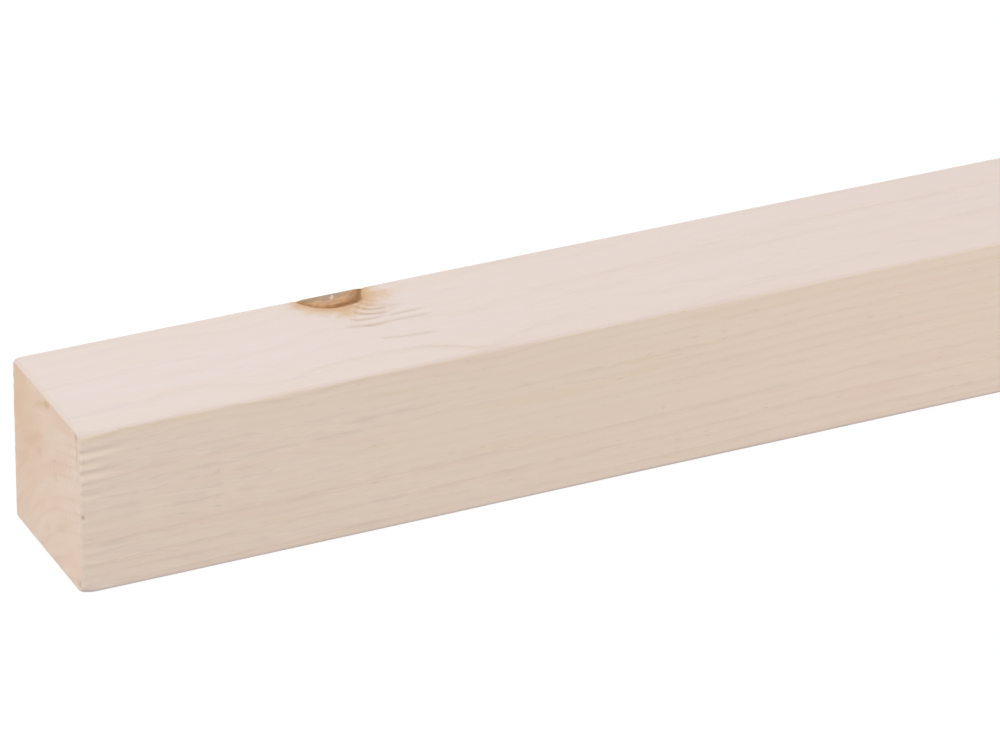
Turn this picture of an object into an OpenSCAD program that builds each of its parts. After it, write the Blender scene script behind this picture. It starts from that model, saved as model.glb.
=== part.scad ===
// Planed square wooden batten, lying flat on one side.
// X runs along the length, Y across the width and Z up.
// The origin is the middle of the underside.

/* [Section] */
// Width of the planed section
section_w = 44; // [18:0.5:120]
// Height of the planed section
section_h = 44; // [18:0.5:120]

/* [Length] */
// Length between the two sawn ends
batten_l = 1000; // [200:10:5000]

/* [Edges] */
// Radius of the eased arrises that run along the length
arris_r = 1.2; // [1:0.1:6]
// Depth of the broken edge that runs round each sawn end
end_ease = 0.6; // [0.2:0.1:0.8]

/* [Hidden] */

// Smoothness of the rounded arrises
$fn = 96;

// Colour of freshly planed softwood
softwood = [0.90, 0.83, 0.77];

// Ends of the stock, and where the broken edges run out on its long faces
end_x = batten_l / 2;
ease_x = end_x - end_ease;

// Width and height of the flats left between the eased arrises
flat_w = section_w - 2 * arris_r;
flat_h = section_h - 2 * arris_r;

// Half of the outline of the length, from the middle line out to a face.
// The first coordinate is the distance from the middle line, the second runs
// along the length, and the two outer corners are broken by the end ease.
function eased_profile(reach) = [
    [0, -end_x],
    [reach - end_ease, -end_x],
    [reach, -ease_x],
    [reach, ease_x],
    [reach - end_ease, end_x],
    [0, end_x],
];

// Turns a shape drawn with its length along Z so that the length runs along X
module along_length() {
    rotate([0, 90, 0])
        children();
}

// Slab through the middle of the stock, from face to face over the given
// height and as thick as the flat between the arrises beside it
module planed_slab(height, flat) {
    along_length()
        rotate([90, 0, 0])
            linear_extrude(height = flat, center = true)
                for (side = [0, 1])
                    mirror([side, 0])
                        polygon(eased_profile(height / 2));
}

// Round of one eased arris, with the broken edge carried round both its ends
module eased_arris() {
    along_length()
        rotate_extrude()
            polygon(eased_profile(arris_r));
}

// The batten: two crossed slabs give the four planed faces, and a round along
// each corner gives the arrises, so every edge of the section is tangent
module batten() {
    color(softwood)
        translate([0, 0, section_h / 2]) {
            planed_slab(section_h, flat_w);
            rotate([90, 0, 0])
                planed_slab(section_w, flat_h);
            for (side = [-1, 1], edge = [-1, 1])
                translate([0, side * flat_w / 2, edge * flat_h / 2])
                    eased_arris();
        }
}

batten();
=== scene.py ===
"""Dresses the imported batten: planed pale softwood with a knot at one arris, on a white studio floor.

The batten is one closed surface. A rounded square profile is carried along a path that starts in
the middle of the left sawn end, runs out over the broken edge, along the length and back in to the
middle of the right end. The growth rings and the branch that left the knot are fields in space,
so the grain on every face belongs to the same tree. Shapes are worked out in millimetres, with u
counted along the length from the left end, and go into the mesh in metres.
"""
import logging
import math
from dataclasses import dataclass
from enum import Enum

import bpy
import numpy as np
from mathutils import Matrix, Vector


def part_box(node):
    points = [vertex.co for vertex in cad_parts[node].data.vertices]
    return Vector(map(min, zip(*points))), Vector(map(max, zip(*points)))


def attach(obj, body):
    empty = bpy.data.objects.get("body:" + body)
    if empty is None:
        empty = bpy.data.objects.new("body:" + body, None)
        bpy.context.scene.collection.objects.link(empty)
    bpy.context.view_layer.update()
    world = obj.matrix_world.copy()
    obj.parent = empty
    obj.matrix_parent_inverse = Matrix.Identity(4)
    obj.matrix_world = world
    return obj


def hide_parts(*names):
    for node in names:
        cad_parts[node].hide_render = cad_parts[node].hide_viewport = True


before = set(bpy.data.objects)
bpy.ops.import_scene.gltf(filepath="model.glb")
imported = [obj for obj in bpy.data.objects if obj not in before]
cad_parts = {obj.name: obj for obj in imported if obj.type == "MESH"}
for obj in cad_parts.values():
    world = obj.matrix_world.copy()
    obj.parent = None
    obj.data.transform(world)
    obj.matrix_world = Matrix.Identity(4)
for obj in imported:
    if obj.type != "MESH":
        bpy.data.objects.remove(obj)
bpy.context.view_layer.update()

MM = 0.001
NODE = "batten"
BODY = "root"
WHITE = (1.0, 1.0, 1.0, 1.0)
LATTICE = 64
FRAY_SEED = 3
WEAR_SEED = 5
YEAR_SEED = 117

Array = np.ndarray
Colour = tuple[int, int, int]
Pair = tuple[float, float]
Point = tuple[float, float, float]
Socket = bpy.types.NodeSocket
log = logging.getLogger("batten")


class Side(Enum):
    """The planed faces by outward direction (y, z), in the order in which the profile meets them."""

    FRONT = (-1, 0)
    TOP = (0, 1)
    BACK = (1, 0)
    UNDERSIDE = (0, -1)


class Cut(Enum):
    """How a part of the surface was cut. The value is its place among the piece's materials."""

    PLANED = 0
    SAWN = 1


def bell(distance: Array) -> Array:
    """Smooth hump: 1 where the distance is 0, falling as e to the minus distance squared."""
    return np.exp(-(distance ** 2))


def ease_in(low: float, high: float, value: Array) -> Array:
    """Smooth step: 0 up to low, 1 from high on, and three squares less two cubes between."""
    t = np.clip((value - low) / (high - low), 0.0, 1.0)
    return t * t * (3.0 - 2.0 * t)


def lattice_noise(a: Array, b: Array, seed: int) -> Array:
    """Smooth noise from 0 to 1: seeded random values on a unit lattice, blended by smooth steps.

    Args:
        a: First coordinate, in lattice cells.
        b: Second coordinate, in lattice cells.
        seed: Number that picks the lattice.

    Returns:
        The noise at every point, in the shape of the coordinates.
    """
    table = np.random.default_rng(seed).random((LATTICE, LATTICE))
    a, b = np.broadcast_arrays(np.asarray(a, float), np.asarray(b, float))
    i, j = np.floor(a).astype(int), np.floor(b).astype(int)
    s, t = ease_in(0, 1, a - i), ease_in(0, 1, b - j)
    i, j, above, beside = (cell % LATTICE for cell in (i, j, i + 1, j + 1))
    near = table[i, j] * (1 - t) + table[i, beside] * t
    far = table[above, j] * (1 - t) + table[above, beside] * t
    return near * (1 - s) + far * s


@dataclass(frozen=True)
class Trunk:
    """Growth rings round a pith that lies below and in front of the batten. The humps in them are
    given by height, and by place and spread along the length."""

    pith_y: float = -37.5
    pith_z: float = -41.5
    ring: float = 2.85
    first: float = 0.755
    taper: float = -0.0107
    late: float = 0.87
    bold_year: float = 30.94
    bold_width: float = 0.06
    humps: tuple[Point, ...] = (
        (1.4, 55.0, 12.0),
        (-0.75, 32.0, 9.0),
        (1.5, 109.5, 10.5),
        (1.45, 120.0, 45.0),
    )

    def radius(self, y: Array, z: Array) -> Array:
        """Distance from the pith."""
        return np.hypot(y - self.pith_y, z - self.pith_z)

    def sway(self, u: Array) -> Array:
        """Two slow waves in the rings, which grow along the length, the second past the knot."""
        second = 0.5 * np.sin(u / 23.0 + 2.0) * ease_in(120, 200, u)
        return (0.55 * np.sin(u / 61.0 + 0.4) + second) * ease_in(60, 260, u)

    def wander(self, u: Array, z: Array) -> Array:
        """How far the rings swing out of true: taper, sway and, high up by the knot, the humps."""
        humps = sum(height * bell((u - place) / spread) for height, place, spread in self.humps)
        return self.taper * u + self.sway(u) + humps * ease_in(28, 44, z)

    def age(self, u: Array, y: Array, z: Array, swell: Array) -> Array:
        """Years of growth: distance from the pith, swung and less the swell, in ring widths."""
        return (self.radius(y, z) + self.wander(u, z) - swell - self.first) / self.ring

    def flatness(self, y: Array, z: Array, out_y: Array, out_z: Array) -> Array:
        """How flat a face lies to the rings: the cosine between its outward direction and theirs."""
        radius = self.radius(y, z)
        return np.abs(out_y * (y - self.pith_y) + out_z * (z - self.pith_z)) / radius

    def bold(self, age: Array, u: Array, z: Array) -> Array:
        """The one dark ring that shows on the top: a bell round its year, faded along the length."""
        window = (0.12 + 0.88 * ease_in(84, 102, u)) * ease_in(12, 50, u) * (1.0 - ease_in(103, 113, u))
        return bell((age - self.bold_year) / self.bold_width) * window * ease_in(34, 43, z)

    def ridge(self, age: Array) -> Array:
        """Ridge of late wood: a cosine that is 1 in the late part of each year and 0 between."""
        return 0.5 + 0.5 * np.cos(2.0 * math.pi * (age - self.late))


@dataclass(frozen=True)
class Branch:
    """A branch that grew from the pith and left the knot: a cone round a straight axis."""

    foot: Point = (71.0, -37.5, -41.5)
    tip: Point = (84.9, 26.4, 44.0)
    tip_radius: float = 10.65
    shoulder: Pair = (89.5, 15.2)
    shoulder_radius: float = 2.5
    bulge: float = 0.07
    flank: Pair = (93.5, 15.0)
    flank_spread: Pair = (3.2, 4.5)
    steepness: float = 0.12
    swell: float = 2.0
    spread: float = 0.7
    round_depth: float = 0.05
    rim_depth: float = 0.22
    rim: Pair = (0.97, 0.06)

    def reach(self, u: Array, y: Array, z: Array) -> Array:
        """Distance from the branch's axis in branch radii, so that 1 is its bark. The radius grows
        in step with the distance from the pith. A shoulder bulges out and the flank behind it is
        steep.

        Args:
            u: Place along the length.
            y: Place across.
            z: Height.

        Returns:
            Distance of every point.
        """
        point = np.stack(np.broadcast_arrays(u, y, z), axis=-1) - np.array(self.foot)
        axis = np.array(self.tip) - np.array(self.foot)
        along = point @ axis / (axis @ axis)
        away = np.linalg.norm(point - along[..., None] * axis, axis=-1)
        off_u, off_y = u - self.shoulder[0], y - self.shoulder[1]
        bulge = self.bulge * bell(off_u / self.shoulder_radius) * bell(off_y / self.shoulder_radius)
        behind = bell((u - self.flank[0]) / self.flank_spread[0])
        steep = self.steepness * behind * ease_in(0.0, self.flank_spread[1], y - self.flank[1])
        return (1.0 - bulge + steep) * away / (self.tip_radius * np.maximum(along, 0.05))

    def push(self, reach: Array) -> Array:
        """How far the branch pushed the rings out: full at its bark, falling as a bell outside."""
        return self.swell * bell(np.maximum(reach - 1.0, 0.0) / self.spread)

    def relief(self, reach: Array) -> Array:
        """Height by the knot: level on its core, sunk at its rim and a little low round it."""
        low = ease_in(0.8, 1.0, reach) * (1.0 - ease_in(1.1, 2.0, reach))
        return -self.round_depth * low - self.rim_depth * bell((reach - self.rim[0]) / self.rim[1])


@dataclass(frozen=True)
class Ripple:
    """A ripple of curled grain on the top face: a groove that bends up to the knot at its left."""

    level: float
    left: float
    right: float
    lift: float
    fall: float
    depth: float
    width: float = 0.95
    crest: float = 0.6
    crest_offset: float = 1.5
    fade_in: float = 0.9
    fade_out: Pair = (4.0, 2.0)

    def groove(self, u: Array, y: Array) -> Array:
        """Groove and crest. The line starts a lift over its level and comes down to it as e to the
        minus distance in falls. Across it is a bell, less a smaller bell beside it.

        Args:
            u: Place along the length.
            y: Place across.

        Returns:
            Depth at every point, below 0 on the crest.
        """
        line = self.level + self.lift * np.exp(-np.maximum(u - self.left, 0.0) / self.fall)
        across = (y - line) / self.width
        started = ease_in(self.left - self.fade_in, self.left + self.fade_in, u)
        ended = ease_in(self.right - self.fade_out[0], self.right + self.fade_out[1], u)
        shape = bell(across) - self.crest * bell(across - self.crest_offset)
        return self.depth * started * (1.0 - ended) * shape


RIPPLES = (
    Ripple(12.5, 91.6, 96.5, 1.6, 1.2, 0.8),
    Ripple(10.6, 89.6, 97.0, 3.0, 1.3, 1.1),
    Ripple(8.9, 87.4, 95.5, 4.2, 1.4, 1.4),
    Ripple(9.3, 95.4, 99.5, 0.4, 1.0, 0.8),
    Ripple(6.8, 85.8, 95.0, 3.4, 1.8, 1.3),
    Ripple(7.4, 95.0, 99.0, 0.3, 1.0, 0.6),
    Ripple(4.8, 83.4, 93.0, 1.6, 2.2, 0.85),
    Ripple(5.1, 93.2, 103.5, -0.6, 1.5, 0.75),
    Ripple(2.0, 80.6, 104.0, 1.2, 3.5, 0.65),
    Ripple(1.3, 85.4, 91.0, 0.8, 1.2, 0.55),
    Ripple(-2.6, 86.4, 95.0, 0.8, 3.0, 0.25),
    Ripple(-5.0, 87.4, 94.0, 0.8, 3.0, 0.2),
    Ripple(-7.8, 86.0, 101.5, 2.6, 7.0, 0.6),
)


@dataclass(frozen=True)
class Nick:
    """A small hollow, where fibres tore out: a bell round a point, with a radius each way."""

    place: Point
    radii: Point
    depth: float

    def hollow(self, u: Array, y: Array, z: Array) -> Array:
        """Depth of the hollow: e to the minus sum of the squares of the offsets in radii."""
        offsets = (np.stack([u, y, z], axis=-1) - self.place) / self.radii
        return self.depth * np.exp(-(offsets ** 2).sum(axis=-1))


NICKS = (
    Nick((0.3, -22.0, 21.6), (0.7, 0.9, 0.55), 0.28),
    Nick((0.6, -22.0, 20.9), (0.5, 0.8, 0.4), 0.18),
    # A long shallow hollow beside the front edge of the left end, made for a thin line of shade there; its
    # tint is painted shade.
    Nick((0.7, -22.0, 13.5), (0.35, 1.2, 5.5), 0.12),
    Nick((0.4, -22.0, 3.8), (0.45, 0.9, 0.6), 0.15),
    Nick((0.0, -19.2, 42.0), (1.0, 1.0, 1.6), 0.17),
    Nick((0.0, -19.6, 37.5), (1.0, 1.0, 3.2), 0.14),
    Nick((0.0, -20.0, 31.0), (1.0, 0.8, 3.6), 0.10),
)


@dataclass(frozen=True)
class Spot:
    """A soft oval mark of another colour, by its place and radii in metres and its turn."""

    place: Point
    radii: Point
    turn: Point
    colour: Colour
    share: float


END_SPOTS = tuple(
    Spot((-0.5, y * MM, z * MM), (5 * MM, wide * MM, high * MM), (turn, 0.0, 0.0), colour, share)
    for y, z, wide, high, turn, colour, share in (
        (-0.6, 41.8, 2.4, 1.5, -0.3, (203, 186, 138), 0.7),
        (3.5, 40.2, 5.0, 1.0, -0.5, (222, 196, 156), 0.5),
        (5.0, 26.5, 1.9, 2.4, -0.7, (200, 168, 144), 0.2),
        (-5.5, 24.5, 2.0, 1.7, -0.9, (206, 172, 142), 0.2),
        (-5.0, 28.7, 2.6, 0.8, -0.55, (200, 162, 148), 0.22),
        (0.5, 7.0, 3.0, 2.2, -0.5, (228, 182, 156), 0.22),
        (-9.5, 12.7, 8.0, 1.4, -0.5, (206, 178, 142), 0.25),
        (9.5, 27.5, 9.5, 2.0, -0.55, (216, 172, 134), 0.25),
        (15.5, 20.0, 6.0, 1.8, -0.65, (216, 172, 134), 0.22),
        (-20.8, 2.6, 3.0, 1.6, -0.4, (176, 146, 116), 0.4),
    )
)
KNOT_SPOTS = (
    Spot((-0.4224, 0.0199, 0.044), (0.0032, 0.0017, 0.01), (0.0, 0.0, 0.1), (156, 126, 98), 0.65),
    Spot((-0.4160, 0.0192, 0.044), (0.0006, 0.0016, 0.01), (0.0, 0.0, -0.6), (232, 208, 186), 0.8),
)


class Profile:
    """Rounded square of the section, run once round from the foot of the front face."""

    SEGMENTS = {Side.FRONT: 110, Side.TOP: 120, Side.BACK: 60, Side.UNDERSIDE: 48}
    HALF_ARC = 3
    BESIDE_ARC = 0.35

    def __init__(self, width: float, height: float, arris: float) -> None:
        """Lays out the points. A side is an eighth of a round, a flat and an eighth of a round. The
        flat's steps are even, but short beside the rounds, so that these shade crisply.

        Args:
            width: Width of the section.
            height: Height of the section.
            arris: Radius of the eased arrises.
        """
        self.half = np.array([width / 2, height / 2])
        eighth = math.pi / 4
        turn = np.linspace(0.0, eighth, self.HALF_ARC + 1)
        parts = []
        for index, side in enumerate(Side):
            count = self.SEGMENTS[side]
            lean = np.concatenate([-turn[:0:-1], np.zeros(count + 1), turn[1:]])
            steps = np.ones(count)
            steps[[0, -1]] = self.BESIDE_ARC
            places = np.append(0.0, np.cumsum(steps)) / steps.sum()
            share = places[np.clip(np.arange(len(lean)) - self.HALF_ARC, 0, count)]
            flat = 2.0 * (abs(np.array(side.value[::-1]) @ self.half) - arris)
            across = flat * share + arris * (lean + eighth)
            number = np.full(len(lean) - 1, index)
            parts.append(np.stack([number, lean[:-1], share[:-1], across[:-1], across[1:]]))
        number, self.lean, self.share, self.start, self.stop = np.concatenate(parts, axis=1)
        self.side = number.astype(int)
        self.girth = float(max(self.stop))
        self.square = np.array([side.value for side in Side], float)[self.side]
        self.run = self.square[:, ::-1] * np.array([1.0, -1.0])
        lean = self.lean[:, None]
        self.out = np.cos(lean) * self.square + np.sin(lean) * self.run

    def section(self, radius: Array) -> Array:
        """Points of sections whose arrises have radii of their own.

        Along its side, a point lies at its share of the flat between the two rounds, or past the
        flat by the radius times the sine of its lean. Out from the middle, it falls back from the
        side by the radius times one less the cosine.

        Args:
            radius: Radius of the four arrises of every section, as (sections, 4).

        Returns:
            Points from the middle of the section, as (sections, round, 2).
        """
        first = radius[:, self.side]
        last = radius[:, (self.side + 1) % len(Side)]
        own = np.where(self.lean < 0.0, first, last)
        reach = np.abs(self.run) @ self.half
        along = (reach - last) * self.share - (reach - first) * (1.0 - self.share)
        along = along + own * np.sin(self.lean)
        outward = np.abs(self.square) @ self.half - own * (1.0 - np.cos(self.lean))
        return along[..., None] * self.run + outward[..., None] * self.square

    def blend(self, values: tuple[float, ...]) -> Array:
        """A value for each side as a value for each point, evened out over the rounds between."""
        own, before, after = (np.roll(values, shift)[self.side] for shift in (0, 1, -1))
        return own + (np.where(self.lean < 0.0, before, after) - own) * np.abs(self.lean) * 2.0 / math.pi

    def __len__(self) -> int:
        """Number of points round the section."""
        return len(self.side)


@dataclass(frozen=True)
class Path:
    """Stations of the profile: over the left end, along the length and over the right end."""

    length: float
    ease: float
    by_end: float = 16.0
    knot_from: float = 62.0
    knot_to: float = 112.0
    seen_to: float = 276.0
    counts: tuple[int, ...] = (22, 21, 58, 40, 13, 25, 18)
    edge_shares: tuple[float, ...] = (1.0, 0.93, 0.8, 0.6, 0.4, 0.2, 0.07)
    straight: float = 0.6
    cap_rings: int = 24
    crowding: float = 1.15
    last_ring: float = 0.992

    def along(self) -> Array:
        """Places along the length between the broken edges, close together at the ends and knot.

        Returns:
            Places in order.
        """
        near = (self.ease, self.by_end, self.knot_from, self.knot_to, self.seen_to)
        marks = (*near, self.length / 2, self.length - self.by_end, self.length - self.ease)
        runs = [np.linspace(a, b, n, endpoint=False) for a, b, n in zip(marks, marks[1:], self.counts)]
        return np.append(np.concatenate(runs), marks[-1])

    def stations(self) -> tuple[Array, Array, Array]:
        """Place along the length, inset from the planed faces and spread of every station.

        The broken edge runs from a full inset at the end to none at its own depth, part straight
        and part round. On an end the spread shrinks the profile to the middle.

        Returns:
            Places, insets and spreads as arrays of one length.
        """
        share = np.array(self.edge_shares)
        rounded = 1.0 - np.sqrt(1.0 - share ** 2)
        inset = self.ease * (self.straight * share + (1.0 - self.straight) * rounded)
        edge = self.ease * (1.0 - share)
        rings = np.linspace(0.0, 1.0, self.cap_rings + 1)[1:-1]
        rings = np.append(1.0 - (1.0 - rings) ** self.crowding, self.last_ring)
        cap = np.zeros(len(rings))
        full = np.ones(len(share))
        along = self.along()
        place = np.concatenate([cap, edge, along, self.length - edge[::-1], self.length - cap])
        depth = np.concatenate([cap + self.ease, inset, along * 0.0, inset[::-1], cap + self.ease])
        spread = np.concatenate([rings, full, along * 0.0 + 1.0, full, rings[::-1]])
        return place, depth, spread


def paint(colour: Colour) -> tuple[float, float, float, float]:
    """A screen colour of 0 to 255 as the light that Blender works in, with a full fourth value."""
    share = np.array([*colour, 255]) / 255.0
    return tuple(np.where(share <= 0.04045, share / 12.92, ((share + 0.055) / 1.055) ** 2.4).tolist())


class NodeGraph:
    """The nodes of a material or of the world, added and linked in one call each."""

    def __init__(self, owner: bpy.types.Material | bpy.types.World) -> None:
        """Takes up the owner's nodes, its output and the one shader that feeds it.

        Args:
            owner: A new material or world.
        """
        owner.use_nodes = True
        self.owner = owner
        self.tree = owner.node_tree
        self.output = self.tree.nodes[f"{type(owner).__name__} Output"]
        self.shader = self.output.inputs["Surface"].links[0].from_node

    def wire(self, node: bpy.types.Node, inputs: dict) -> None:
        """Links each given socket of a node to an output, or sets it to a value.

        Args:
            node: The node.
            inputs: What goes into its sockets, by name or number.
        """
        for key, value in inputs.items():
            if isinstance(value, bpy.types.NodeSocket):
                self.tree.links.new(value, node.inputs[key])
            else:
                node.inputs[key].default_value = value

    def node(self, kind: str, inputs: dict, **settings: object) -> bpy.types.Node:
        """Adds a node.

        Args:
            kind: Blender's name of the node's type.
            inputs: What goes into its sockets, by name or number.
            settings: Its other settings.

        Returns:
            The new node.
        """
        made = self.tree.nodes.new(kind)
        for key, value in settings.items():
            setattr(made, key, value)
        self.wire(made, inputs)
        return made

    def attribute(self, name: str) -> Socket:
        """A value that the mesh carries at its points."""
        return self.node("ShaderNodeAttribute", {}, attribute_name=name).outputs["Fac"]

    def place(self, scale: Point = (1.0, 1.0, 1.0), shift: Point = (0.0, 0.0, 0.0)) -> Socket:
        """Place on the object in metres, times a scale along each axis and moved by a shift."""
        inputs = {"Vector": self.node("ShaderNodeTexCoord", {}).outputs["Object"], "Scale": scale}
        return self.node("ShaderNodeMapping", {**inputs, "Location": shift}).outputs["Vector"]

    def axes(self, scale: Point = (1.0, 1.0, 1.0)) -> dict[str, Socket]:
        """The scaled place as a value for each axis, by the axis's letter."""
        outputs = self.node("ShaderNodeSeparateXYZ", {0: self.place(scale)}).outputs
        return {socket.name: socket for socket in outputs}

    def math(self, operation: str, *values: object) -> Socket:
        """One step of arithmetic on numbers or sockets."""
        return self.node("ShaderNodeMath", dict(enumerate(values)), operation=operation).outputs[0]

    def times(self, first: Socket, second: object) -> Socket:
        """Product of two values."""
        return self.math("MULTIPLY", first, second)

    def line(self, value: Socket, slope: object, start: object) -> Socket:
        """A start and, on top of it, a value times a slope."""
        return self.math("MULTIPLY_ADD", value, slope, start)

    def fit(self, value: Socket, low: float, high: float, bottom: float, top: float) -> Socket:
        """Value carried smoothly from low and high to bottom and top, and held there outside."""
        inputs = {"Value": value, 1: low, 2: high, 3: bottom, 4: top}
        return self.node("ShaderNodeMapRange", inputs, interpolation_type="SMOOTHSTEP").outputs["Result"]

    def noise(self, place: Socket, detail: float, swirl: float = 0.0) -> Socket:
        """Noise from about 0 to 1, one lump to a unit of the place."""
        inputs = {"Vector": place, "Scale": 1.0, "Detail": detail, "Distortion": swirl}
        return self.node("ShaderNodeTexNoise", inputs).outputs["Fac"]

    def grain(self, along: float, across: float, detail: float = 2.0, swirl: float = 0.0) -> Socket:
        """Noise drawn out along the fibres, by its lumps to a metre along and across them."""
        return self.noise(self.place((along, across, across)), detail, swirl)

    def chance(self, number: Socket) -> Socket:
        """A random value from 0 to 1 for each whole number."""
        return self.node("ShaderNodeTexWhiteNoise", {"W": number}, noise_dimensions="1D").outputs["Value"]

    def mix(self, share: object, first: object, second: object, way: str = "MIX") -> Socket:
        """Blends two colours by a share of the second."""
        inputs = {0: share, 6: first, 7: second}
        return self.node("ShaderNodeMix", inputs, data_type="RGBA", blend_type=way).outputs[2]

    def tint(self, colour: object, share: Socket, second: Colour) -> Socket:
        """Blends a share of a screen colour into a colour."""
        return self.mix(share, colour, paint(second))

    def shade(self, colour: Socket, light: Socket, share: object = 1.0) -> Socket:
        """Colour times a light, by a share of it."""
        return self.mix(share, colour, light, "MULTIPLY")

    def ramp(self, value: Socket, stops: list[tuple[float, tuple]]) -> Socket:
        """Colour looked up along a ramp.

        Args:
            value: Place along the ramp, from 0 to 1.
            stops: Places and colours of the ramp, in order.

        Returns:
            The colour.
        """
        made = self.node("ShaderNodeValToRGB", {"Fac": value})
        elements = made.color_ramp.elements
        while len(elements) < len(stops):
            elements.new(1.0)
        for element, (place, colour) in zip(elements, stops):
            element.position = place
            element.color = colour
        return made.outputs["Color"]

    def curve(self, value: Socket, stops: tuple[Pair, ...]) -> Socket:
        """Level looked up along a ramp of places and levels."""
        return self.ramp(value, [(place, (level, level, level, 1.0)) for place, level in stops])

    def mark(self, colour: Socket, spot: Spot, uneven: Socket) -> Socket:
        """Lays a soft mark over a colour: full in its middle and gone at its radii.

        Args:
            colour: Colour so far.
            spot: The mark.
            uneven: Noise that makes its outline uneven.

        Returns:
            Colour with the mark.
        """
        inputs = {"Vector": self.place(), "Location": spot.place, "Rotation": spot.turn, "Scale": spot.radii}
        local = self.node("ShaderNodeMapping", inputs, vector_type="TEXTURE").outputs["Vector"]
        far = self.node("ShaderNodeVectorMath", {0: local}, operation="LENGTH").outputs["Value"]
        far = self.line(self.math("SUBTRACT", uneven, 0.5), 0.9, far)
        return self.tint(colour, self.fit(far, 0.15, 1.1, spot.share, 0), spot.colour)

    def bump(self, height: Socket, strength: float) -> Socket:
        """Bumps of a height from 0 to 1, a tenth of a millimetre tall, by their strength."""
        inputs = {"Height": height, "Strength": strength, "Distance": 0.1 * MM}
        return self.node("ShaderNodeBump", inputs).outputs["Normal"]

    def show(self, seen: bpy.types.Node) -> None:
        """Shows a shader to the camera, also by way of a mirror or glass. All other rays meet the
        graph's own shader.

        Args:
            seen: The shader that the camera sees.
        """
        path = self.node("ShaderNodeLightPath", {}).outputs
        direct = self.math("MAXIMUM", path["Is Camera Ray"], path["Is Glossy Ray"])
        direct = self.math("MAXIMUM", direct, path["Is Transmission Ray"])
        inputs = {0: direct, 1: self.shader.outputs[0], 2: seen.outputs[0]}
        shown = self.node("ShaderNodeMixShader", inputs)
        self.wire(self.output, {"Surface": shown.outputs[0]})


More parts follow.
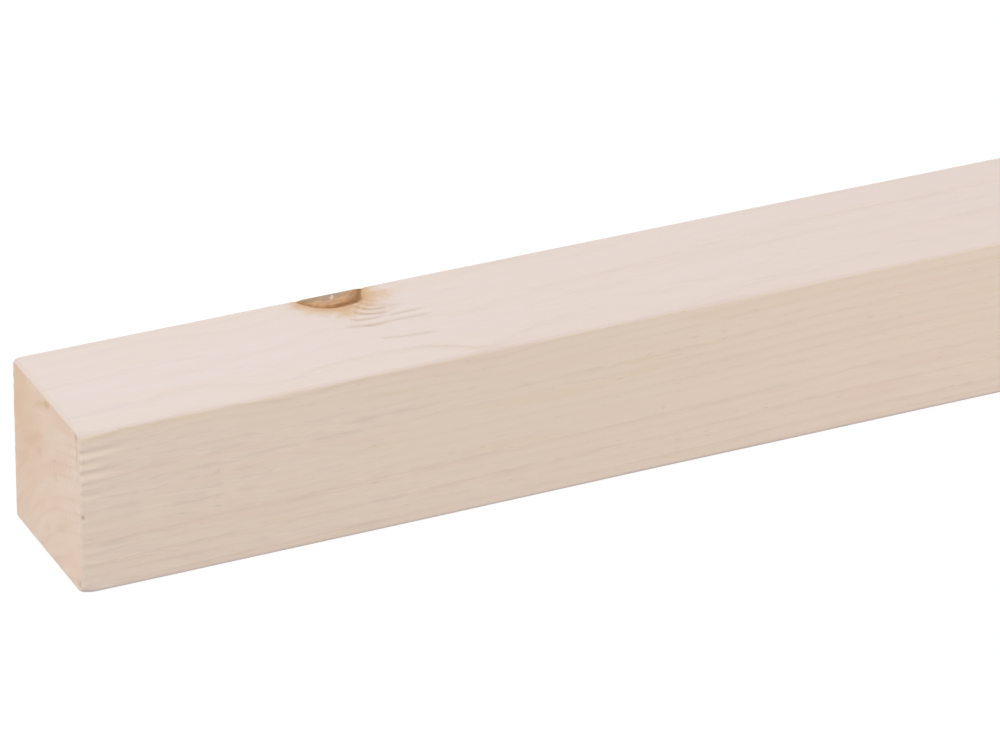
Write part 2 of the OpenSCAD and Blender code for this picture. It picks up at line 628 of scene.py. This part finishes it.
class PlanedSoftwood(NodeGraph):
    """Planed pale softwood: faint rings, fine fibres along the length and a brown knot."""

    flat: Colour = (235, 220, 213)
    flat_late: Colour = (210, 184, 162)
    flat_far: Colour = (232, 214, 205)
    cream: Colour = (235, 218, 207)
    quarter: Colour = (237, 218, 201)
    quarter_far: Colour = (244, 223, 205)
    quarter_late: Colour = (220, 195, 171)
    honey: Colour = (233, 210, 178)
    blush: Colour = (238, 212, 197)
    # Brown of fibres that tore out, with painted shade: the hollows darken towards it the deeper they are.
    torn: Colour = (164, 132, 108)
    # Painted shade for the ripple grooves, in the warm brown of curled grain.
    curl: Colour = (195, 164, 136)
    # Painted highlight for the crests of the ripples and of the raised late wood by the ends.
    crest: Colour = (240, 223, 210)
    edge: Colour = (229, 209, 191)
    resin: Colour = (196, 160, 128)
    core: Colour = (166, 146, 128)
    late_line = ((0.0, 0.35), (0.08, 0.0), (0.45, 0.06), (0.8, 0.5), (0.94, 1.0))
    knot_colours = (
        (0.0, (196, 158, 124)),
        (0.6, (202, 158, 117)),
        (0.8, (207, 157, 109)),
        (0.9, (180, 128, 80)),
        (0.955, (155, 105, 57)),
        (0.99, (170, 123, 79)),
        (1.03, (207, 164, 122)),
        (1.1, (215, 174, 133)),
        (1.3, (220, 185, 149)),
        (1.6, (226, 200, 175)),
        (1.95, (230, 210, 194)),
    )
    knot_span: float = 2.0
    knot_years: float = 47.0
    gloss: float = 0.28

    def __init__(self) -> None:
        """Builds the material: rings, fibres and knot, and over them the tints of the relief, which are
        painted shade in the ripple grooves, on the arrises and in the hollows, painted highlights on the
        crests, and a beige tint on the broken edges.
        """
        super().__init__(bpy.data.materials.new("planed_softwood"))
        self.flatness = self.attribute("flatness")
        self.along = self.axes()["X"]
        fibre = self.grain(260, 3600)
        both = self.line(self.grain(105, 860, 3, 0.7), 0.65, self.times(fibre, 0.35))
        wood = self.knot(self.fibres(self.rings(), both))
        ripple = self.attribute("ripple")
        # Painted shade in the ripple grooves and painted highlight on their crests, so that the shallow
        # ripples show.
        wood = self.tint(wood, self.fit(ripple, 0, 1.2, 0, 0.62), self.curl)
        wood = self.tint(wood, self.fit(ripple, 0, -0.7, 0, 0.5), self.crest)
        # Painted highlight on the raised late wood by the ends.
        wood = self.tint(wood, self.fit(self.attribute("crest"), 0.1, 0.9, 0, 0.5), self.crest)
        from_middle = self.math("ABSOLUTE", self.along)
        wood = self.tint(wood, self.fit(from_middle, 0.4982, 0.5, 0, 0.35), self.edge)
        # Painted shade: the arrises are darkened a little, most halfway round, to tone down the light that
        # they catch from two sides.
        wood = self.shade(wood, self.fit(self.attribute("arris"), 0, 1, 1, 0.955))
        # Painted shade in the hollows: they darken towards the brown of fibres that tore out, the deeper the
        # more.
        wood = self.tint(wood, self.fit(self.attribute("hollow"), 0.15, 1, 0, 0.9), self.torn)
        rough = self.line(fibre, 0.18, 0.54)
        looks = {"Base Color": wood, "Specular IOR Level": self.gloss, "Roughness": rough}
        self.wire(self.shader, {**looks, "Normal": self.bump(both, 0.4)})

    def rings(self) -> Socket:
        """Pale early wood that darkens to a late line at the end of each year. Streaks fray the
        lines, clouds and each year's own strength let them come and go, and the early tones change
        a little along the length.

        Returns:
            Colour of the wood with its rings.
        """
        streak = self.grain(40, 620, 3)
        cloud = self.grain(9, 120)
        frayed = self.line(streak, 0.25, self.math("SUBTRACT", self.attribute("age"), 0.12))
        late = self.curve(self.math("FRACT", frayed), self.late_line)
        own = self.chance(self.math("FLOOR", frayed))
        lie = self.fit(self.flatness, 0.25, 0.6, 0, 1)
        strength = self.times(self.fit(cloud, 0.36, 0.66, 0.2, 1), self.fit(own, 0, 1, 0.3, 1))
        strength = self.times(strength, self.fit(lie, 0, 1, 0.42, 0.13))
        flat = self.tint(paint(self.flat), self.fit(cloud, 0.4, 0.68, 0, 0.6), self.cream)
        flat = self.tint(flat, self.fit(self.along, -0.45, -0.36, 0, 0.5), self.flat_far)
        share = self.fit(self.along, -0.40, -0.26, 0, 0.5)
        early_colour = self.mix(lie, self.tint(paint(self.quarter), share, self.quarter_far), flat)
        late_colour = self.tint(paint(self.quarter_late), lie, self.flat_late)
        wood = self.mix(self.times(late, strength), early_colour, late_colour)
        return self.tint(wood, self.times(self.attribute("bold"), 0.36), self.flat_late)

    def fibres(self, wood: Socket, both: Socket) -> Socket:
        """Fine light and dark fibres, gathered in the late wood by each year's own strength and
        strongest by the left end, with honey and blush tints and short dashes of resin.

        Args:
            wood: Colour so far.
            both: Wisps and fine fibres together.

        Returns:
            Colour with the fibres.
        """
        lie = self.fit(self.flatness, 0.25, 0.6, 1, 0.27)
        light = self.fit(both, 0.32, 0.68, 0.915, 1.045)
        since_late = self.math("SUBTRACT", self.attribute("age"), Trunk.late)
        wave = self.math("COSINE", self.times(since_late, 2.0 * math.pi))
        own = self.chance(self.math("FLOOR", self.math("ADD", since_late, 0.5)))
        year = self.times(self.fit(wave, -0.4, 0.9, 0.4, 1.12), self.fit(own, 0, 1, 0.45, 1.3))
        rough = self.times(self.fit(self.along, -0.46, -0.36, 1.55, 0.6), lie)
        least = self.fit(self.along, -0.45, -0.38, 0.37, 0.56)
        rough = self.times(self.math("MAXIMUM", rough, least), year)
        patch = self.grain(30, 160)
        wood = self.shade(wood, light, self.times(self.fit(patch, 0.35, 0.65, 0.35, 1), rough))
        band = self.grain(16, 240, 2, 0.4)
        wood = self.tint(wood, self.times(self.fit(band, 0.55, 0.75, 0, 0.3), lie), self.honey)
        wood = self.tint(wood, self.times(self.fit(band, 0.45, 0.28, 0, 0.4), lie), self.blush)
        dash = self.grain(240, 2400, 0)
        return self.tint(wood, self.times(self.fit(dash, 0.77, 0.83, 0, 0.2), lie), self.resin)

    def knot(self, wood: Socket) -> Socket:
        """The knot: grey and tan core with its own years, dark bark rim and a halo, by distance
        from the branch's axis. The rim is broader on the side away from the left end, and the halo
        is narrow by the back arris.

        Args:
            wood: Colour of the wood round it.

        Returns:
            Colour with the knot.
        """
        place = self.axes()
        lump = self.grain(190, 190, 3)
        uneven = self.line(lump, 0.14, self.math("SUBTRACT", self.attribute("reach"), 0.07))
        slant = self.line(place["Y"], -0.75, place["X"])
        far_side = self.fit(slant, -0.4345, -0.4225, 0, 1)
        patch = self.grain(330, 420, 3, 0.8)
        past = self.times(self.math("SUBTRACT", uneven, 1), self.fit(patch, 0.3, 0.7, 0.82, 1.25))
        inner = self.fit(far_side, 0, 1, 1.9, 0.68)
        high = self.fit(place["Z"], 0.0385, 0.0436, 0.35, 1)
        by_arris = self.times(self.fit(place["Y"], 0.0170, 0.0208, 0.9, 2.4), high)
        outer = self.math("MAXIMUM", self.fit(far_side, 0.6, 1, 1.6, 0.95), by_arris)
        reach = self.line(self.math("MINIMUM", past, 0.0), inner, 1.0)
        reach = self.line(self.math("MAXIMUM", past, 0.0), outer, reach)
        stops = [(stop / self.knot_span, paint(tone)) for stop, tone in self.knot_colours]
        colour = self.ramp(self.times(reach, 1.0 / self.knot_span), stops)
        vein = self.grain(500, 900)
        light = self.times(self.fit(vein, 0.3, 0.7, 0.82, 1.1), self.fit(far_side, 0, 1, 1, 0.93))
        years = self.math("SINE", self.times(uneven, self.knot_years))
        light = self.times(light, self.fit(years, -1, 1, 0.95, 1.05))
        colour = self.shade(colour, light, self.fit(reach, 0.95, 1.05, 1, 0))
        share = self.times(self.fit(uneven, 0.4, 0.8, 0.8, 0), high)
        colour = self.tint(colour, share, self.core)
        for spot in KNOT_SPOTS:
            colour = self.mark(colour, spot, vein)
        return self.mix(self.fit(reach, 1.08, 2.15, 1, 0), wood, colour)


class SawnEnd(NodeGraph):
    """Sawn end grain: broken strokes along the rings, fine pores and faint tracks of the saw."""

    early: Colour = (238, 216, 199)
    late: Colour = (216, 186, 160)
    warm: Colour = (231, 200, 171)
    cream: Colour = (242, 225, 210)
    # Brown of fibres that tore out, with painted shade: the hollows darken towards it the deeper they are.
    torn: Colour = (166, 126, 106)
    blush: Colour = (236, 206, 190)
    late_line = ((0.0, 0.3), (0.1, 0.0), (0.5, 0.1), (0.85, 0.7), (0.95, 1.0))
    blade: Point = (0.0, 0.35, 0.1)
    gloss: float = 0.2

    def __init__(self) -> None:
        """Builds the material: strokes, a warmer upper back, pores, marks, and hollows tinted the brown of
        fibres that tore out, with painted shade in them.
        """
        super().__init__(bpy.data.materials.new("sawn_end"))
        place = self.axes((1.0, 60.0, 60.0))
        pore = self.grain(2400, 2400)
        wood = self.strokes(place, pore)
        broad = self.grain(45, 45, 1)
        back = self.line(place["Y"], 0.6, self.line(place["Z"], 0.5, -0.66))
        share = self.times(self.fit(broad, 0.35, 0.62, 0.35, 1), self.fit(back, -0.5, 1.1, 0, 0.8))
        wood = self.tint(wood, share, self.warm)
        wood = self.shade(wood, self.fit(pore, 0.3, 0.7, 0.96, 1.03))
        uneven = self.grain(700, 700)
        for spot in END_SPOTS:
            wood = self.mark(wood, spot, uneven)
        # Painted shade in the hollows: they darken towards the brown of fibres that tore out, the deeper the
        # more.
        wood = self.tint(wood, self.fit(self.attribute("hollow"), 0.08, 0.8, 0, 0.85), self.torn)
        rough = self.line(pore, 0.2, 0.66)
        looks = {"Base Color": wood, "Specular IOR Level": self.gloss, "Roughness": rough}
        self.wire(self.shader, {**looks, "Normal": self.bump(self.tracks(pore), 0.5)})

    def strokes(self, place: dict[str, Socket], pore: Socket) -> Socket:
        """Strokes of late and early wood that follow the rings and break off along them.

        Args:
            place: Place on the end, a unit to about 17 mm.
            pore: Fine noise, which frays the strokes.

        Returns:
            Colour of the wood with its strokes.
        """
        age = self.line(pore, 0.3, self.attribute("age"))
        stroke = self.ring_noise(self.times(age, 1.1), place["Y"], place["Z"])
        late = self.curve(self.math("FRACT", age), self.late_line)
        wood = self.tint(paint(self.early), self.fit(stroke, 0.5, 0.3, 0, 0.6), self.cream)
        pink = self.ring_noise(self.times(age, 0.45), place["Z"], place["Y"])
        wood = self.tint(wood, self.fit(pink, 0.42, 0.68, 0, 0.5), self.blush)
        return self.tint(wood, self.times(late, self.fit(stroke, 0.45, 0.68, 0.04, 0.3)), self.late)

    def ring_noise(self, age: Socket, second: Socket, third: Socket) -> Socket:
        """Noise that follows the rings, with the age as the first axis of its place."""
        place = self.node("ShaderNodeCombineXYZ", {"X": age, "Y": second, "Z": third})
        return self.noise(place.outputs["Vector"], 1.0)

    def tracks(self, pore: Socket) -> Socket:
        """Height of the saw's tracks: shallow arcs round the middle of a large blade.

        Args:
            pore: Fine noise, which lies between the tracks.

        Returns:
            Height from 0 to 1.
        """
        centred = self.place((0.0, 1.0, 1.0), self.blade)
        inputs = {"Vector": centred, "Scale": 160.0, "Distortion": 0.6, "Detail": 1.0}
        wave = self.node("ShaderNodeTexWave", inputs, wave_type="RINGS", rings_direction="X")
        return self.line(wave.outputs["Fac"], 0.35, self.times(pore, 0.65))


@dataclass
class Batten:
    """The batten: its sizes in millimetres, its surface and its two finishes."""

    length: float
    width: float
    height: float
    arris: float = 1.2
    eased: tuple[float, ...] = (1.2, 0.8, 1.2, 1.2)
    ease: float = 0.6
    left_wear: tuple[Pair, ...] = ((1.4, 2.0), (1.4, 4.0), (0.8, 1.2), (0.0, 1.0))
    right_wear: tuple[Pair, ...] = ((0.6, 2.0), (1.1, 3.0), (0.5, 2.5), (0.6, 1.8))
    broken: tuple[float, ...] = (1.0, 1.0, 0.9, 0.45)
    fray: float = 0.4
    fray_length: float = 1.3
    patchiness: float = 0.3
    patch_length: float = 31.0
    deepest: float = 0.4
    ridge_height: float = 0.44
    ripple_height: float = 0.12
    wave_height: float = 0.02
    wave_run: Pair = (19.0, 7.0)
    map_margin: float = 0.006
    map_end: float = 0.11
    map_step: float = 1.2
    trunk: Trunk = Trunk()
    branch: Branch = Branch()

    def surface(self) -> tuple[Array, dict[str, Array], Profile, tuple[Array, Array, Array]]:
        """Points of the surface on a grid of stations by places round the section.

        Each point is the profile's, set in by the broken edge, rounded by the wear and moved along
        its outward direction by the relief. On the ends that outline shrinks to the middle. Hollows
        go in from the sides and, turning over the broken edge, along the length on the ends.

        Returns:
            Points as (stations, round, 3) in millimetres from the left end, values for the
            materials on the same grid, the profile and the stations.
        """
        profile = Profile(self.width, self.height, self.arris)
        stations = Path(self.length, self.ease).stations()
        place, depth, spread = (values[:, None] for values in stations)
        out_y, out_z = profile.out.T
        to_end = np.minimum(place, self.length - place)
        fray = lattice_noise(profile.start / self.fray_length, profile.side * 7.0, FRAY_SEED)
        inset = depth * (1.0 + self.fray * fray) * profile.blend(self.broken)
        y, z = np.moveaxis(profile.section(self.worn_radius(stations[0])), -1, 0)
        y, z = y - inset * out_y, z - inset * out_z
        u = place + 0.0 * y
        outline = self.fields(u, y, z + self.height / 2, out_y, out_z)
        lift = self.relief(u, to_end, z + self.height / 2, outline)
        y = spread * (y + lift * out_y)
        z = spread * (z + lift * out_z) + self.height / 2
        fields = self.fields(u, y, z, out_y, out_z)
        hollow = fields["hollow"]
        past_edge = to_end - (1.0 - spread) * self.width / 2
        endways = 1.0 - ease_in(-self.ease, self.ease, past_edge)
        x = u + hollow * endways * np.where(place < self.length / 2, 1.0, -1.0)
        y = y - hollow * (1.0 - endways) * out_y
        z = z - hollow * (1.0 - endways) * out_z
        fields["hollow"] = np.clip(hollow / self.deepest, 0.0, 1.0)
        # Mask of the painted shade on the arrises: 0 on the flats, 1 halfway round each arris.
        fields["arris"] = np.abs(np.sin(2.0 * profile.lean)) + 0.0 * hollow
        # Where the raised late wood by the ends gets its painted highlight.
        fields["crest"] = self.raised(to_end, z, fields) * self.trunk.ridge(fields["age"]) ** 3
        return np.stack([x, y, z], axis=-1), fields, profile, stations

    def worn_radius(self, place: Array) -> Array:
        """Radius to which each arris has worn: uneven by a little all along, and larger at each
        corner of the ends by that corner's growth, which falls as a bell over its length.

        Args:
            place: Places along the length.

        Returns:
            Radii as (places, 4), in the order in which the profile meets the arrises.
        """
        place = place[:, None]
        wear = np.where(place[..., None] < self.length / 2, self.left_wear, self.right_wear)
        corner = wear[..., 0] * bell(np.minimum(place, self.length - place) / wear[..., 1])
        patchy = lattice_noise(place / self.patch_length, np.arange(len(Side)) * 9.0 + 0.5, WEAR_SEED)
        return np.array(self.eased) + self.patchiness * (patchy - 0.5) + corner

    def fields(self, u: Array, y: Array, z: Array, out_y: Array, out_z: Array) -> dict[str, Array]:
        """Values that the wood's looks depend on, at every point.

        Args:
            u: Place along the length.
            y: Place across.
            z: Height.
            out_y: Outward direction across.
            out_z: Outward direction upwards.

        Returns:
            The values by name.
        """
        reach = self.branch.reach(u, y, z)
        age = self.trunk.age(u, y, z, self.branch.push(reach))
        on_top = ease_in(self.height - 1.0, self.height - 0.5, z)
        return {
            "age": age,
            "bold": self.trunk.bold(age, u, z),
            "reach": np.minimum(reach, 4.0),
            "flatness": self.trunk.flatness(y, z, out_y, out_z),
            "ripple": on_top * sum(ripple.groove(u, y) for ripple in RIPPLES),
            "hollow": sum(nick.hollow(u, y, z) for nick in NICKS),
        }

    def raised(self, to_end: Array, z: Array, fields: dict[str, Array]) -> Array:
        """How strongly the late wood stands up by an end, where the early wood beside it shrank: by
        each year's own strength, most where the rings cross the face and in its upper part.

        Args:
            to_end: Distance from the nearer end.
            z: Height.
            fields: Values at the points.

        Returns:
            Strength at every point.
        """
        own = lattice_noise(np.floor(fields["age"] - self.trunk.late), 0.0, YEAR_SEED)
        fade = 1.0 - ease_in(1.0, 8.0 + 7.0 * own, to_end)
        cross = 1.0 - ease_in(0.4, 0.8, fields["flatness"])
        high = 0.18 + 0.82 * ease_in(0.5, 0.82, z / self.height)
        return (0.2 + 1.2 * own) * fade * cross * high

    def relief(self, u: Array, to_end: Array, z: Array, fields: dict[str, Array]) -> Array:
        """Height of the planed faces over a true plane: raised late wood near the ends, the knot,
        the curled grain beside it and the slow waves of the planer. It never rises over the plane.

        Args:
            u: Place along the length.
            to_end: Distance from the nearer end.
            z: Height.
            fields: Values at the points.

        Returns:
            Height at every point.
        """
        sunk = self.ridge_height * self.raised(to_end, z, fields) * (1.0 - self.trunk.ridge(fields["age"]))
        ripple = self.ripple_height * fields["ripple"]
        wave = self.wave_height * (1.0 + np.sin(u / self.wave_run[0] + z / self.wave_run[1]))
        return np.minimum(self.branch.relief(fields["reach"]) - sunk - ripple - wave, 0.0)

    def build(self) -> bpy.types.Object:
        """Makes the closed mesh, with its values, map and materials.

        Returns:
            The piece.
        """
        points, fields, profile, stations = self.surface()
        rows, count = points.shape[:2]
        shift = np.array([self.length / 2, 0.0, 0.0])
        poles = points[[0, -1]].mean(axis=1)
        vertices = np.concatenate([points.reshape(-1, 3), poles])
        quads, fans = self.faces(rows, count)
        mesh = bpy.data.meshes.new(NODE)
        mesh.from_pydata(((vertices - shift) * MM).tolist(), [], quads.tolist() + fans.tolist())
        for name, grid in fields.items():
            ends = grid[[0, -1]].mean(axis=1)
            values = np.concatenate([np.ravel(grid), ends]).astype(np.float32)
            mesh.attributes.new(name, "FLOAT", "POINT").data.foreach_set("value", values)
        spread = stations[2]
        sawn = np.repeat(np.minimum(spread[:-1], spread[1:]) < 1.0, count)
        cuts = np.where(np.append(sawn, np.ones(len(fans), bool)), Cut.SAWN.value, Cut.PLANED.value)
        mesh.polygons.foreach_set("material_index", cuts)
        mesh.polygons.foreach_set("use_smooth", np.ones(len(cuts), bool))
        self.unwrap(mesh, vertices, quads, fans, profile, sawn)
        mesh.materials.append(PlanedSoftwood().owner)
        mesh.materials.append(SawnEnd().owner)
        mesh.update(calc_edges=True)
        piece = bpy.data.objects.new("planed_batten", mesh)
        bpy.context.scene.collection.objects.link(piece)
        return piece

    def faces(self, rows: int, count: int) -> tuple[Array, Array]:
        """Faces of the grid, which closes round the section, and the fans that close its poles.

        Args:
            rows: Number of stations.
            count: Number of points round the section.

        Returns:
            Four-sided faces and three-sided faces, as rows of vertex numbers.
        """
        number = np.arange(rows * count).reshape(rows, count)
        beside = np.roll(number, -1, axis=1)
        quads = np.stack([number[:-1], number[1:], beside[1:], beside[:-1]], axis=-1).reshape(-1, 4)
        left = np.full(count, rows * count)
        first = np.stack([left, number[0], beside[0]], axis=-1)
        last = np.stack([number[-1], left + 1, beside[-1]], axis=-1)
        return quads, np.concatenate([first, last])

    def unwrap(
        self, mesh: bpy.types.Mesh, vertices: Array, quads: Array, fans: Array, profile: Profile, sawn: Array
    ) -> None:
        """Maps each half of each planed face to a strip and each end to a square.

        A strip runs along the map with the place along the length, and across it with the girth.
        The ends are laid flat above the strips, side by side, as they are seen from outside.

        Args:
            mesh: The mesh, which gets the map.
            vertices: Its points, in millimetres from the left end.
            quads: Its four-sided faces.
            fans: Its three-sided faces.
            profile: The profile.
            sawn: True for the four-sided faces that lie on an end.
        """
        margin = self.map_margin
        strips = 2 * len(Side)
        tall = (1.0 - self.map_end - margin) / strips
        half = self.length / 2
        along = vertices[quads, 0]
        right = along.mean(axis=1) > half
        rows = len(quads) // len(profile)
        start, stop = np.tile(profile.start, rows), np.tile(profile.stop, rows)
        across = np.stack([start, start, stop, stop], axis=-1) / profile.girth
        strip = (2 * np.tile(profile.side, rows) + right)[:, None]
        u = margin + (along - half * right[:, None]) / half * (1.0 - 2 * margin)
        v = (strip + 0.5 * margin / tall + across * (1.0 - margin / tall)) * tall
        strip_map = np.stack([u, v], axis=-1).reshape(-1, 2)
        size = self.map_end - 2 * margin
        x, y, z = vertices[np.append(quads, fans)].T
        wide = np.where(x > half, 0.5 + y / self.width + self.map_step, 0.5 - y / self.width)
        high = strips * tall + margin + z / self.height * size
        flat_map = np.stack([margin + wide * size, high], axis=-1)
        planed = np.flatnonzero(np.repeat(~sawn, 4))
        flat_map[planed] = strip_map[planed]
        layer = mesh.uv_layers.new(name="OFBake")
        layer.uv.foreach_set("vector", flat_map.astype(np.float32).ravel())


@dataclass(frozen=True)
class Lamp:
    """A square soft lamp: where it hangs, what it points at, its side and its power in watts."""

    name: str
    place: Point
    aim: Point
    size: float
    power: float

    def hang(self) -> None:
        """Hangs the lamp with its sides level, out of the camera's sight."""
        data = bpy.data.lights.new(self.name, "AREA")
        data.size = self.size
        data.energy = self.power
        lamp = bpy.data.objects.new(self.name, data)
        lamp.location = self.place
        sight = Vector(self.aim) - Vector(self.place)
        lamp.rotation_euler = sight.to_track_quat("-Z", "Y").to_euler()
        lamp.visible_camera = False
        bpy.context.scene.collection.objects.link(lamp)


@dataclass(frozen=True)
class Studio:
    """White floor, soft lamps and the camera at the photograph's viewpoint."""

    lens: float = 216.0
    sensor: float = 36.0
    sight: float = 200.0
    camera_place: Point = (-0.958456, -1.189786, 0.726995)
    turn: float = 25.9864
    look_down: float = 27.9929
    roll: float = -0.9359
    sky: float = 0.56
    floor_tone: Colour = (196, 196, 196)
    floor_reach: float = 40.0
    floor_glow: float = 1.16
    glow_share: float = 0.8
    lamps: tuple[Lamp, ...] = (
        Lamp("overhead", (-1.2, -0.1, 1.4), (-0.45, 0.0, 0.0), 1.3, 4.0),
        Lamp("key", (-2.4, -1.2, 1.3), (-0.3, 0.0, 0.0), 1.2, 10.0),
        Lamp("front", (0.6, -1.3, 0.6), (-0.1, 0.0, 0.0), 1.0, 8.4),
        Lamp("left", (-2.8, 0.1, 0.9), (-0.5, 0.0, 0.0), 1.0, 10.5),
        Lamp("back", (0.5, 2.4, 0.75), (-0.05, 0.0, 0.0), 1.4, 15.0),
    )

    def light_sky(self) -> None:
        """Even soft light from all round, and white where the camera looks past the floor."""
        world = bpy.data.worlds.new("studio")
        bpy.context.scene.world = world
        graph = NodeGraph(world)
        graph.wire(graph.shader, {"Color": WHITE, "Strength": self.sky})
        graph.show(graph.node("ShaderNodeBackground", {"Color": WHITE, "Strength": 1.0}))

    def lay_floor(self) -> None:
        """Floor that shows white but keeps a soft shadow, and reflects as plain pale paint."""
        reach = self.floor_reach
        corners = [(x * reach, y * reach, 0.0) for x, y in ((-1, -1), (1, -1), (1, 1), (-1, 1))]
        mesh = bpy.data.meshes.new("studio_floor")
        mesh.from_pydata(corners, [], [(0, 1, 2, 3)])
        graph = NodeGraph(bpy.data.materials.new("studio_floor"))
        looks = {"Base Color": paint(self.floor_tone), "Roughness": 0.9, "Specular IOR Level": 0.0}
        graph.wire(graph.shader, looks)
        glow = graph.node("ShaderNodeEmission", {"Color": WHITE, "Strength": self.floor_glow})
        inputs = {0: self.glow_share, 1: graph.shader.outputs[0], 2: glow.outputs[0]}
        graph.show(graph.node("ShaderNodeMixShader", inputs))
        mesh.materials.append(graph.owner)
        floor = bpy.data.objects.new("studio_floor", mesh)
        bpy.context.scene.collection.objects.link(floor)

    def set_camera(self) -> None:
        """Sets the camera by its turn from the batten's front, its look down and its roll."""
        turn, down, roll = (math.radians(angle) for angle in (self.turn, self.look_down, self.roll))
        level = Matrix.Rotation(-turn, 4, "Z") @ Matrix.Rotation(math.pi / 2 - down, 4, "X")
        rolled = level @ Matrix.Rotation(-roll, 4, "Z")
        data = bpy.data.cameras.new("camera")
        data.lens = self.lens
        data.sensor_width = self.sensor
        data.clip_end = self.sight
        camera = bpy.data.objects.new("camera", data)
        camera.matrix_world = Matrix.Translation(self.camera_place) @ rolled
        bpy.context.scene.collection.objects.link(camera)
        bpy.context.scene.camera = camera

    def build(self) -> None:
        """Sets up the camera, the floor and the light."""
        self.set_camera()
        self.lay_floor()
        self.light_sky()
        for lamp in self.lamps:
            lamp.hang()
        bpy.context.scene.view_settings.view_transform = "Standard"


def main() -> None:
    """Builds the studio and the batten at the size of the solid that it stands for, hangs the batten on its
    body and hides the solid.
    """
    logging.basicConfig(level=logging.INFO, format="%(name)s: %(message)s")
    low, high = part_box(NODE)
    length, width, height = (side / MM for side in high - low)
    Studio().build()
    batten = Batten(length, width, height)
    piece = batten.build()
    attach(piece, BODY)
    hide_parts(NODE)
    count = len(piece.data.polygons)
    log.info("%s: %d faces, %.0f x %.0f x %.0f mm", piece.name, count, length, width, height)


if __name__ == "__main__":
    main()
